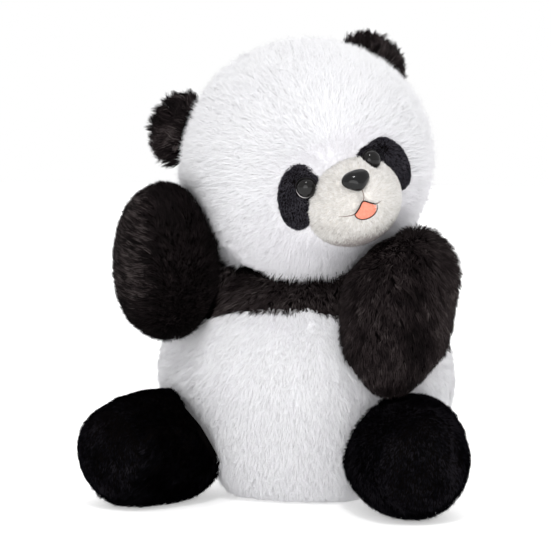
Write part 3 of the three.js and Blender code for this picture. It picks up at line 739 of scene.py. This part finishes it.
def add_muzzle():
    directions, triangles = ball(6)
    local = MUZZLE_CENTRE + directions * MUZZLE_SIZE
    front = directions[:, 1] < 0
    for x in (-10.5, 10.5):
        puff = np.exp(-(((local[:, 0] - x) / 8) ** 2) - ((local[:, 2] + 24) / 8) ** 2) * front
        local = local + 1.2 * puff[:, None] * directions
    groove = np.exp(-((local[:, 0] / 2.2) ** 2) - ((local[:, 2] + 21) / 5) ** 2) * front
    local = local - 1.0 * groove[:, None] * directions
    for side in (-1, 1):
        place, out = eye_seat(side)
        room = np.clip((EYE["radius"] + 1.2 - beyond_eye(local, side)) / 1.4, 0, 1)
        height = (local - place) @ out
        local = local - (room * np.clip(height + 0.5, 0, 20))[:, None] * out
    skin = Skin(from_head(local), triangles)
    # Painted shade: the faces of the muzzle sunk round each eye get black backing, standing in for the shade
    # in those recesses.
    middles = local[triangles].mean(axis=1)
    painted_shade_well = np.minimum(beyond_eye(middles, -1), beyond_eye(middles, 1)) < EYE["radius"] + 0.9
    add_object("muzzle_eye_wells_painted_shade", skin.points, triangles[painted_shade_well], "head", [BLACK_BACKING], "black_velvet")
    made = add_object("muzzle_skin", skin.points, triangles[~painted_shade_well], "head", [CREAM_BACKING], "cream_plush")
    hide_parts("muzzle_cover")
    roots, normals = scattered(skin, "muzzle", SEED + 20)
    local = to_head(roots)
    out = np.linalg.norm(local / (HEAD_SIZE - 1), axis=1) > 1
    for side in (-1, 1):
        out &= beyond_eye(local, side) > EYE["radius"] + 0.3
    roots, normals, local = roots[out], normals[out], local[out]
    comb = (local - MUZZLE_CENTRE) * vec(1, 0, 1) + vec(0, 6, -4)
    length = np.full(len(roots), LENGTHS["muzzle"])
    # Painted shade: the cream pile darkens towards the muzzle's bottom and on its lower right side.
    bottom_shade = np.clip((-35 - local[:, 2]) / 10, 0, 1)
    right_side_shade = np.clip((MUZZLE_CENTRE[0] - 8 - local[:, 0]) / 20, 0, 1)
    right_side_shade = right_side_shade * np.clip((-18 - local[:, 2]) / 14, 0, 1)
    tone = 0.72 - 0.75 * bottom_shade - 0.2 * right_side_shade + 0.08 * drift(roots, 14, 8)
    add_fur(
        "muzzle_fur", "head", roots, normals, comb @ HEAD_TURN.T, length, CREAM, tone,
        width=0.24, lift=(0.8, 0.6), clump=10, pull=(0.05, 0.4), spread=0.12, seed=SEED + 21,
    )


def add_patch(name, side):
    middle, inward, up, out = patch_frame(side)
    rings, spokes = 10, 48
    points, triangles = [middle], []
    for ring in range(1, rings + 1):
        for spoke in range(spokes):
            angle = 2 * math.pi * spoke / spokes
            reach = patch_reach(angle, side) * ring / rings
            points.append(middle + reach * (math.cos(angle) * inward + math.sin(angle) * up))
    points = np.array(points)
    height = np.full(len(points), 1.3)
    height[-spokes:] = -0.6
    surface = np.array([on_head(unit(p), h) for p, h in zip(points, height)])
    for spoke in range(spokes):
        following = (spoke + 1) % spokes
        triangles.append((0, 1 + spoke, 1 + following))
        for ring in range(rings - 1):
            a, b = 1 + ring * spokes + spoke, 1 + ring * spokes + following
            triangles += [(a, a + spokes, b + spokes), (a, b + spokes, b)]
    triangles = np.array(triangles)
    if side > 0:
        triangles = triangles[:, ::-1]
    skin = Skin(from_head(surface), triangles)
    made = add_object(f"{name}_skin", skin.points, triangles, "head", [BLACK_BACKING], "black_velvet")
    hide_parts(name)
    roots, normals = scattered(skin, "patch", SEED + 30 + side)
    local = to_head(roots)
    comb = (local - middle) * 0.1 - np.tile(up, (len(roots), 1)) - 0.3 * inward
    keep = ~inside_muzzle(local, 0.5) | (beyond_eye(local, side) < EYE["radius"] + 1.8)
    roots, normals, comb = roots[keep], normals[keep], comb[keep]
    length = np.full(len(roots), LENGTHS["patch"])
    tone = 0.5 + 0.15 * drift(roots, 9, 4)
    add_fur(
        f"{name}_fur", "head", roots, normals, comb @ HEAD_TURN.T, length, PATCH_BLACK, tone,
        width=0.26, lift=(0.7, 0.5), clump=9, pull=(0.02, 0.25), seed=SEED + 32 + side,
    )


def lathe(profile, segments=48, outline=None):
    """A closed turned form about +Z from [radius, height] pairs; outline changes the radius round it."""
    angles = np.arange(segments) * 2 * math.pi / segments
    around = np.ones(segments) if outline is None else outline(angles)
    points = [vec(0, 0, profile[0][1])]
    for radius, height in profile[1:-1]:
        rim = radius * around
        level = np.full(segments, height)
        points += list(np.column_stack([rim * np.cos(angles), rim * np.sin(angles), level]))
    points.append(vec(0, 0, profile[-1][1]))
    last = len(points) - 1
    polygons = []
    for k in range(segments):
        following = (k + 1) % segments
        polygons.append((0, 1 + following, 1 + k))
        for ring in range(len(profile) - 3):
            a, b = 1 + ring * segments + k, 1 + ring * segments + following
            polygons.append((a, b, b + segments, a + segments))
        top = 1 + (len(profile) - 3) * segments
        polygons.append((top + k, top + following, last))
    return np.array(points), polygons


def dome_profile(radius, bulge, steps=12):
    profile = [(0, -1.0), (radius * 0.9, -1.0), (radius, -0.3), (radius, 0.1 * bulge)]
    for k in range(1, steps):
        angle = k / steps * math.pi / 2
        profile.append((radius * math.cos(angle), bulge * (0.1 + 0.9 * math.sin(angle))))
    return profile + [(0, bulge)]


def seated(points, place, across, up, out):
    """Points in a seat's own axes, put in the frame from the head's."""
    return from_head(place + points @ np.array([across, up, out]))


def add_eye(name, side):
    place, out = eye_seat(side)
    place = place + EYE["stand"] * out
    across = unit(np.cross(vec(0, 0, 1), out))
    up = np.cross(out, across)
    points, polygons = lathe(dome_profile(EYE["radius"], EYE["bulge"]))
    points = seated(points, place, across, up, out)
    made = add_object(f"eye_{name}_dome", points, polygons, "head", [EYE_GLOSS], "eye_plastic")
    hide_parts(f"eye_{name}")
    r = EYE["radius"]
    rim = [(0, -1.4), (r, -1.4), (r + 0.55, -0.9), (r + 0.5, -0.1), (r - 0.2, 0.15), (0, 0.15)]
    points, polygons = lathe(rim)
    points = seated(points, place, across, up, out)
    add_object(f"eye_{name}_rim", points, polygons, "head", [EYE_RIM], "eye_plastic")
    # Painted highlight: a thin pale thread along the lower edge of each eye stands in for a glint of light
    # there; it is no part of the eye.
    angles = np.radians(np.linspace(165, 285, 25))
    ring = np.column_stack([np.cos(angles), np.sin(angles), np.full(len(angles), 0.6 / r)]) * (r - 0.1)
    radii = 0.05 + 0.3 * np.sin(np.linspace(0, math.pi, len(angles)))
    places = place + ring @ np.array([across, up, out])
    add_thread(f"eye_{name}_edge", places, radii, EYE_GLINT, slot_name="eye_plastic")


def on_muzzle(x, z, height=0.0):
    across = x / (MUZZLE_SIZE[0] + height)
    rise = (z - MUZZLE_CENTRE[2]) / (MUZZLE_SIZE[2] + height)
    forward = math.sqrt(max(0.0, 1 - across**2 - rise**2))
    return vec(x, MUZZLE_CENTRE[1] - (MUZZLE_SIZE[1] + height) * forward, z)


def add_nose():
    out = face_direction(0, NOSE["facing"])
    place = on_muzzle(NOSE["aside"], -NOSE["down"]) + NOSE["stand"] * out
    across = vec(1, 0, 0)
    up = np.cross(out, across)
    flat = NOSE["height"] / NOSE["width"]

    def outline(angles):
        squash = 1 / np.sqrt(np.cos(angles) ** 2 + (np.sin(angles) / flat) ** 2)
        return squash * (1 + 0.075 * np.sin(3 * angles) + 0.02 * np.cos(4 * angles))

    points, polygons = lathe(dome_profile(NOSE["width"] / 2, NOSE["bulge"]), outline=outline)
    points = seated(points, place, across, up, out)
    made = add_object("nose_button", points, polygons, "head", [NOSE_GLOSS], "nose_plastic")
    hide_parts("nose")


def add_thread(name, places, radii, material, slot_name="black_thread", sides=8):
    """A tapered round thread through places in the head's own frame."""
    places = np.array(places)
    points, polygons = [], []
    for k, place in enumerate(places):
        going = unit(places[min(k + 1, len(places) - 1)] - places[max(k - 1, 0)])
        one = unit(np.cross(going, vec(0.3, 0.2, 1)))
        two = np.cross(going, one)
        for j in range(sides):
            angle = 2 * math.pi * j / sides
            points.append(place + radii[k] * (math.cos(angle) * one + math.sin(angle) * two))
    for k in range(len(places) - 1):
        for j in range(sides):
            a, b = k * sides + j, k * sides + (j + 1) % sides
            polygons.append((a, b, b + sides, a + sides))
    polygons.append(tuple(reversed(range(sides))))
    polygons.append(tuple(range(len(points) - sides, len(points))))
    return add_object(name, from_head(np.array(points)), polygons, "head", [material], slot_name)


def smooth_line(places, steps):
    """Points along a Catmull-Rom line through places."""
    places = [np.array(p, float) for p in places]
    places = [2 * places[0] - places[1], *places, 2 * places[-1] - places[-2]]
    line = []
    for k in range(1, len(places) - 2):
        p0, p1, p2, p3 = places[k - 1 : k + 3]
        for t in np.arange(steps) / steps:
            square, cube = 2 * p0 - 5 * p1 + 4 * p2 - p3, 3 * p1 - p0 - 3 * p2 + p3
            line.append(0.5 * (2 * p1 + (p2 - p0) * t + square * t**2 + cube * t**3))
    line.append(places[-2])
    return np.array(line)


def on_mouth(x, z, height):
    """A place on the muzzle, with the mouth's own small roll."""
    roll = math.radians(MOUTH_ROLL)
    rise = z - MOUTH_MIDDLE[1]
    across = x * math.cos(roll) - rise * math.sin(roll)
    up = MOUTH_MIDDLE[1] + x * math.sin(roll) + rise * math.cos(roll)
    return on_muzzle(MOUTH_MIDDLE[0] + across, up, height)


def add_mouth():
    line = smooth_line(MOUTH, 6)
    reach = np.abs(line[:, 0])
    height = np.where(reach < LIP, 2.3, 2.3 - 0.45 * (reach - LIP) / LIP)
    places = [on_mouth(x, z, h) for (x, z), h in zip(line, height)]
    radii = np.clip(0.36 - 0.03 * np.maximum(reach - 7, 0), 0.12, 0.34)
    inner = reach < LIP + 0.4
    made = add_thread("mouth_line", [p for p, i in zip(places, inner) if i], radii[inner], THREAD_BLACK)
    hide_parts("mouth_stitching")
    for name, part in (("right", line[:, 0] < -LIP + 0.3), ("left", line[:, 0] > LIP - 0.3)):
        add_thread(f"mouth_corner_{name}", [p for p, i in zip(places, part) if i], radii[part], THREAD_BROWN)
    corner_z = MOUTH[2][1]
    low = [
        ((LIP + 0.1) * math.cos(a), corner_z + (TONGUE_BOTTOM - corner_z) * math.sin(a) ** 0.85)
        for a in np.linspace(math.pi, 0, TONGUE_OUTLINE_PLACES)
    ]
    edge = [on_mouth(x, z, 2.2) for x, z in smooth_line(low, 3)]
    add_thread("mouth_edge", edge, np.full(len(edge), 0.24), THREAD_BLACK)
    upper = smooth_line([p for p in MOUTH if abs(p[0]) <= LIP], 4)
    lower = smooth_line(low, 4)
    count = 24
    across = np.linspace(-LIP, LIP, count)
    top_z = np.interp(across, upper[:, 0], upper[:, 1])
    bottom_z = np.interp(across, lower[:, 0], lower[:, 1])
    rows = 10
    points = []
    for row in range(rows + 1):
        share = row / rows
        for x, a, b in zip(across, top_z, bottom_z):
            z = a + (b - a) * share
            crown = 1 - (2 * share - 1) ** 2
            middle = math.exp(-((x / 1.6) ** 2))
            puff = 0.9 * (1 - (x / LIP) ** 2) - 0.35 * middle
            points.append(on_mouth(x, z, 1.7 + puff * crown))
    polygons = []
    for row in range(rows):
        for k in range(count - 1):
            a = row * count + k
            polygons.append((a, a + 1, a + count + 1, a + count))
    points = from_head(np.array(points))
    made = add_object("tongue_felt", points, polygons, "head", [TONGUE_FELT], "pink_felt")
    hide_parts("tongue")
    nose_bottom = -NOSE["down"] - NOSE["height"] * 0.42
    line = smooth_line([(1.8, nose_bottom), (1.2, -18.5), (0, MOUTH[4][1])], 6)
    places = [on_muzzle(x, z, 2.1) for x, z in line]
    add_thread("philtrum_line", places, np.full(len(places), 0.24), THREAD_BROWN)


def add_ear(name, side):
    low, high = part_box(f"ear_{name}_front")
    other_low, other_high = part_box(f"ear_{name}_back")
    centre = vec(*((low + high + other_low + other_high) / 4)) / MM
    skin = wrapped([f"ear_{name}_front", f"ear_{name}_back"], centre, detail=5, rounds=3)
    made = add_object(f"ear_{name}_skin", skin.points, skin.triangles, "head", [BLACK_BACKING], "black_plush")
    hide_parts(f"ear_{name}_front", f"ear_{name}_back")
    roots, normals = scattered(skin, "ear", SEED + 40 + side)
    local = to_head(roots)
    out = np.linalg.norm(local / HEAD_SIZE, axis=1) > 1.02
    roots, normals, local = roots[out], normals[out], local[out]
    comb = unit(local) + 0.5 * unit(local - to_head(centre[None])[0])
    length = LENGTHS["ear"] + 1.5 * drift(roots, 14, 9)
    tone = 0.4 + 0.2 * drift(roots, 12, 2)
    add_fur(
        f"ear_{name}_fur", "head", roots, normals, comb @ HEAD_TURN.T, length, BLACK, tone,
        width=0.4, lift=(0.6, 0.4), stray=0.3, clump=16, pull=(0.5, 0.95), swirl=0.4, spread=0.14,
        seed=SEED + 42 + side,
    )


def belly_top(x):
    """The height of the arch between the white belly and the black chest."""
    return BELLY_ARCH["middle"] + np.sqrt(np.maximum(BELLY_ARCH["radius"] ** 2 - x**2, 0))


def add_torso():
    middles = torso.points[torso.triangles].mean(axis=1)
    white = middles[:, 2] < belly_top(middles[:, 0])
    for name, part, backing, slot_name in (
        ("belly", white, WHITE_BACKING, "white_plush"),
        ("chest", ~white, BLACK_BACKING, "black_plush"),
    ):
        made = add_object(f"{name}_skin", *torso.cut_out(part), "torso", [backing], slot_name)
        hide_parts(f"{name}_cover")
    roots, normals = scattered(torso, "torso", SEED + 60)
    hidden = np.zeros(len(roots), bool)
    for body, (point, axis) in JOINTS.items():
        away = (roots - point) @ axis
        flat = np.linalg.norm(roots - point - away[:, None] * axis, axis=1)
        radius = BARE["neck"] if body == "head" else BARE["limb"]
        hidden |= (np.abs(away) < BARE["depth"]) & (flat < radius)
    hidden |= roots[:, 2] < 1.5
    roots, normals = roots[~hidden], normals[~hidden]
    wobble = 1.6 * drift(roots, 22, 31)
    is_white = roots[:, 2] + wobble < belly_top(roots[:, 0])
    shoulder = np.exp(-(((np.abs(roots[:, 0]) - 58) / 8) ** 2) - ((roots[:, 2] - 140) / 12) ** 2)
    length = LENGTHS["torso"] + 0.5 * drift(roots, 50, 6) + 4 * shoulder
    others = neighbours("head", "arm_right", "arm_left", "leg_right", "leg_left")
    length = free_length(roots, normals, length, others)
    comb = np.column_stack([0.012 * roots[:, 0], 0.010 * roots[:, 1], np.full(len(roots), -1.0)])
    tone_white = 0.72 + 0.08 * drift(roots, 40, 12)
    tone_black = 0.6 + 0.12 * drift(roots, 26, 14)
    for name, part, shades, tone, slot_name in (
        ("belly", is_white, WHITE, tone_white, "white_plush"),
        ("chest", ~is_white, BLACK, tone_black, "black_plush"),
    ):
        add_fur(
            f"{name}_fur", "torso", roots[part], normals[part], comb[part], length[part], shades,
            tone[part], lift=(0.75, 0.45), clump=9, pull=(0.02, 0.3), swirl=0.3, spread=0.08,
            seed=SEED + 61 + len(name),
        )


def add_arm(side):
    skin = arms[side]
    body = f"arm_{side}"
    made = add_object(f"{body}_skin", skin.points, skin.triangles, body, [BLACK_BACKING], "black_plush")
    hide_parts(f"{body}_cover")
    roots, normals = scattered(skin, "arm", SEED + 80 + len(side))
    point, axis = JOINTS[body]
    outwards = vec(*axis) * (1 if (skin.points.mean(axis=0) - point) @ axis > 0 else -1)
    keep = (roots - point) @ outwards > 3
    roots, normals = roots[keep], normals[keep]
    length = LENGTHS["arm"] + 0.6 * drift(roots, 40, 16)
    if side == "left":
        crest = outer_crest(skin, roots)
        length += 4.0 * crest - 4.5 * pressed(roots) * (1 - crest)
        length -= 2.5 * np.clip((-roots[:, 2] + roots[:, 2].min() + 30) / 20, 0, 1)
    length = free_length(roots, normals, length, neighbours("head", "torso", "leg_right", "leg_left"))
    along = unit(skin.points.mean(axis=0) - point)
    paw = along - (along @ outwards) * outwards
    comb = np.tile(paw, (len(roots), 1)) + 0.25 * outwards
    across = aside(skin, roots)
    rise = roots[:, 2] - skin.points[:, 2].mean()
    spread = np.full(len(roots), 0.1)
    if side == "right":
        # Painted sheen: the pile on the outer side of the raised arm is lighter and varies more, as where
        # light grazes it; there it is also combed outwards and up.
        outer = np.clip((-3 - across) / 7, 0, 1) * np.clip((rise + 34) / 16, 0, 1)
        comb += outer[:, None] * (vec(0, 0, 0.5) - 1.6 * SIDEWAYS)
        tone = 0.2 + 0.06 * drift(roots, 20, 18) + outer * (0.2 + 0.08 * drift(roots, 9, 19))
        spread += 0.16 * outer
    else:
        # Painted shade and painted light: the pile is darker along the fold down the arm and lighter towards
        # its rim on the toy's left.
        fold = np.exp(-(((across - 9) / 6) ** 2) - (rise / 32) ** 2)
        paw_end = np.clip((-rise - 24) / 12, 0, 1)
        rim = np.clip((across - 16) / 8, 0, 1)
        tone = 0.48 + 0.1 * drift(roots, 20, 18) - 0.24 * fold + 0.16 * rim
        tone += paw_end * (0.02 + 0.12 * drift(roots, 9, 19))
    add_fur(
        f"{body}_fur", body, roots, normals, comb, length, BLACK, tone,
        lift=(0.72, 0.45), swirl=0.25, spread=spread, seed=SEED + 82 + len(side),
    )


# The pile tone of each leg: the right leg's lower tone is painted shade.
LEG_TONE_AND_SHADE = {"right": 0.2, "left": 0.62}
FOLD_HIGHLIGHT_ASIDE = 81.5  # where a painted highlight runs up the left sole, along a soft fold


def leg_direction(side):
    splay, dip = math.radians(LEG["splay"]), math.radians(LEG["dip"])
    return vec(side * math.sin(splay) * math.cos(dip), -math.cos(splay) * math.cos(dip), -math.sin(dip))


def add_leg(name, side):
    skin = legs[name]
    along = leg_direction(side)
    centre = vec(side * LEG["side"], LEG["front"], LEG["height"])
    seam = LEG["sole_from"] * LEG["half_length"]
    middles = skin.points[skin.triangles].mean(axis=1)
    sole = (middles - centre) @ along > seam
    for piece, part, node, slot_name in (
        (f"leg_{name}", ~sole, f"leg_{name}_cover", "black_plush"),
        (f"foot_{name}", sole, f"foot_{name}_sole", "black_velvet"),
    ):
        made = add_object(f"{piece}_skin", *skin.cut_out(part), f"leg_{name}", [BLACK_BACKING], slot_name)
        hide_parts(node)
    roots, normals = scattered(skin, "leg", SEED + 90 + side)
    point, axis = JOINTS[f"leg_{name}"]
    outwards = axis if (centre - point) @ axis > 0 else -axis
    keep = ((roots - point) @ outwards > 1) & (roots[:, 2] > 1.2)
    roots, normals = roots[keep], normals[keep]
    reach = (roots - centre) @ along
    on_sole = reach > seam
    length = np.where(on_sole, LENGTHS["sole"], LENGTHS["leg"]) + 0.3 * drift(roots, 30, 20)
    if name == "right":
        length -= 1.6 * leg_top(roots)
    length = free_length(roots, normals, length, neighbours("torso", "arm_right", "arm_left"))
    spokes = roots - centre - reach[:, None] * along
    comb = np.where(on_sole[:, None], unit(spokes) * 0.15 + vec(0, 0, -1.0), along + vec(0, 0, -0.3))
    tone = LEG_TONE_AND_SHADE[name] + 0.14 * drift(roots, 22, 22)
    # Painted highlight: a lighter band up the left sole along a fold.
    if name == "left":
        tone += 0.3 * np.exp(-(((roots @ SIDEWAYS - FOLD_HIGHLIGHT_ASIDE) / 2.2) ** 2))
    else:
        tone += 0.35 * np.clip((reach - 20) / 20, 0, 1)
    for piece, part, slot_name, stray in (
        (f"leg_{name}", ~on_sole, "black_plush", 0.13),
        (f"foot_{name}", on_sole, "black_velvet", 0.07),
    ):
        add_fur(
            f"{piece}_fur", f"leg_{name}", roots[part], normals[part], comb[part], length[part],
            LEG_BLACK, tone[part], lift=(0.72, 0.45), stray=stray, pull=(0.02, 0.3),
            seed=SEED + 93 + side + len(piece),
        )


def add_tail():
    low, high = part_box("tail")
    skin = wrapped(["tail"], vec(*((low + high) / 2)) / MM, detail=4, rounds=2)
    made = add_object("tail_skin", skin.points, skin.triangles, "torso", [WHITE_BACKING], "white_plush")
    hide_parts("tail")
    roots, normals = scattered(skin, "tail", SEED + 100)
    comb = np.tile(vec(0, 0.4, -1), (len(roots), 1))
    length = np.full(len(roots), LENGTHS["tail"])
    tone = np.full(len(roots), 0.7)
    add_fur(
        "tail_fur", "torso", roots, normals, comb, length, WHITE, tone,
        seed=SEED + 101,
    )


# The pieces inside are the CAD's own, with the looks of their materials.

STUFFING = cloth("stuffing_fibre", (0.80, 0.80, 0.79), (0.93, 0.93, 0.92), 500, 0.8)
PELLET_BAG = cloth("pellet_bag_cloth", (0.60, 0.56, 0.47), (0.74, 0.70, 0.61), 1200, 0.2)
MOULDING = cloth("joint_moulding", (0.76, 0.75, 0.71), (0.82, 0.81, 0.77), 300, 0.05, roughness=0.55)
INNER = {"stuffing": STUFFING, "bag": PELLET_BAG, "disc": MOULDING, "washer": MOULDING, "ring": MOULDING}


def dress_inner_nodes():
    """Gives each node that no skin replaces the material that its name asks for."""
    for name, node in frame["nodes"].items():
        for ending, material in INNER.items():
            if name.endswith(ending):
                node.data.materials.clear()
                node.data.materials.append(material)


add_camera()
add_studio()
dress_inner_nodes()
add_head()
add_muzzle()
add_nose()
add_mouth()
for side_name, side_sign in (("right", -1), ("left", 1)):
    add_patch(f"eye_patch_{side_name}", side_sign)
    add_eye(side_name, side_sign)
    add_ear(side_name, side_sign)
    add_arm(side_name)
    add_leg(side_name, side_sign)
add_torso()
add_tail()
